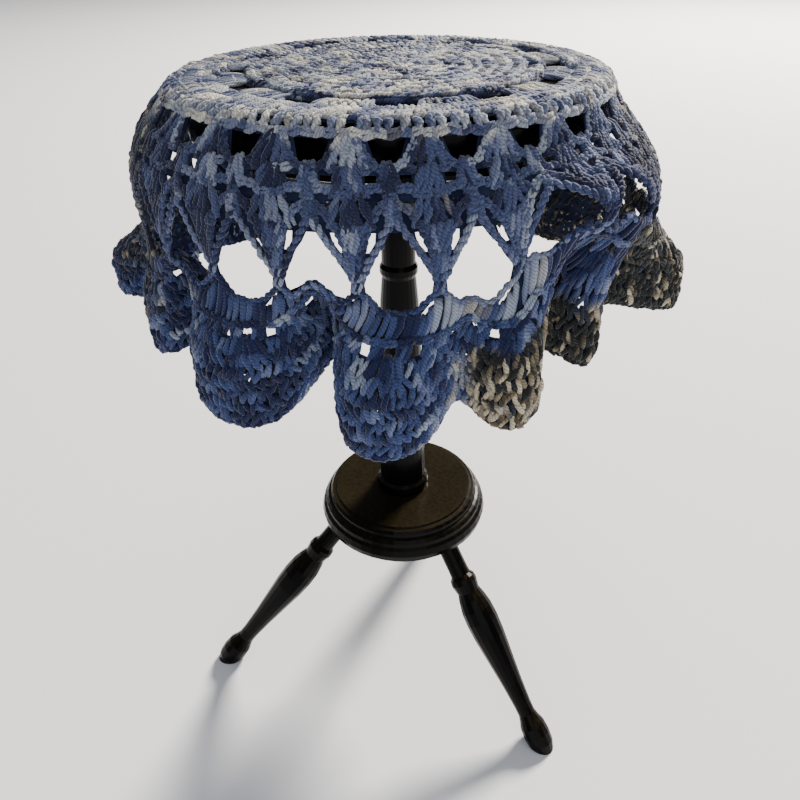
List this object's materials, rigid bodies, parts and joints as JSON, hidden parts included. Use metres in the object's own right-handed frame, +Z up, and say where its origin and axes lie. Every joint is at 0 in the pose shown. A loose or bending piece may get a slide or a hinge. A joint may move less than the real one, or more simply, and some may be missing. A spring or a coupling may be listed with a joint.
{
  "type": "crocheted lace doily draped over a small round pedestal table",
  "caption": "Round crocheted openwork doily with a ruffled border, draped over a small round pedestal table on splayed turned legs.",
  "frame": {"origin": "on the floor, under the middle of the whole object's plan", "axes": "+Z up; -Y towards the front, where the widest fold hangs between two legs; +X to the right seen from the front"},
  "size_m": [0.482, 0.4408, 0.6433],
  "materials": {
    "variegated_cotton": "matt cotton yarn, worked in variegated blues, navy, cream and charcoal",
    "ebonised_wood": "satin near-black stain over turned hardwood"
  },
  "bodies": {
    "root": {"doily": "variegated_cotton", "table_top": "ebonised_wood", "column": "ebonised_wood", "base_disc": "ebonised_wood", "leg_1": "ebonised_wood", "leg_2": "ebonised_wood", "leg_3": "ebonised_wood"}
  },
  "joints": []
}
